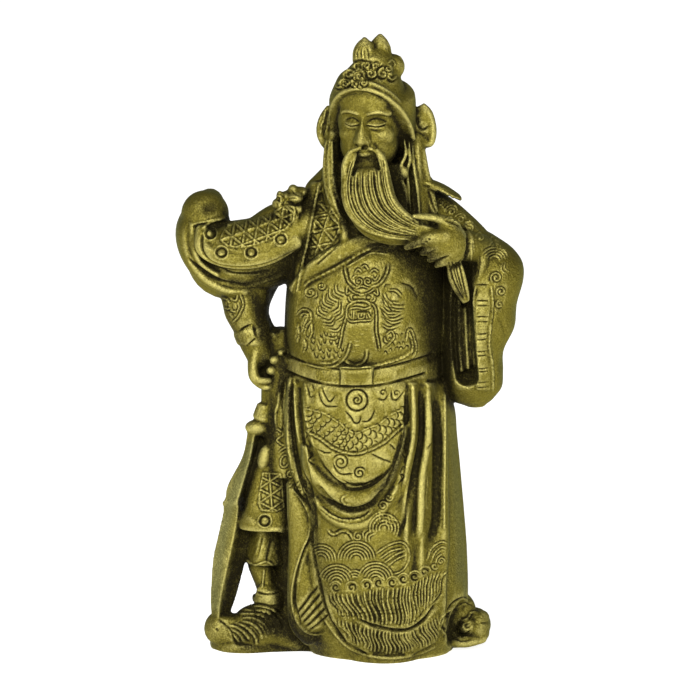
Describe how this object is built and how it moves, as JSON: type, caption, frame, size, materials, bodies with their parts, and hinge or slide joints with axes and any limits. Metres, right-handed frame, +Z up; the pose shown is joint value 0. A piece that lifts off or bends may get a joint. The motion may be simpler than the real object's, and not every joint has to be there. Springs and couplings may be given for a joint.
{
  "type": "guan yu statue",
  "caption": "Cast brass figurine of a standing bearded general in armour and a long robe, drawing his beard aside with one hand, a glaive held blade down by his boot",
  "frame": {"origin": "on the flat underside, below the middle of the figure's foot", "axes": "+Z up along the height, -Y towards the front of the figure, +X towards the figure's left hand, which holds the beard"},
  "size_m": [0.0868, 0.0386, 0.157],
  "materials": {
    "antique_brass": "antique satin with dark patina in the recesses"
  },
  "bodies": {
    "root": {"statue": "antique_brass"}
  },
  "joints": []
}
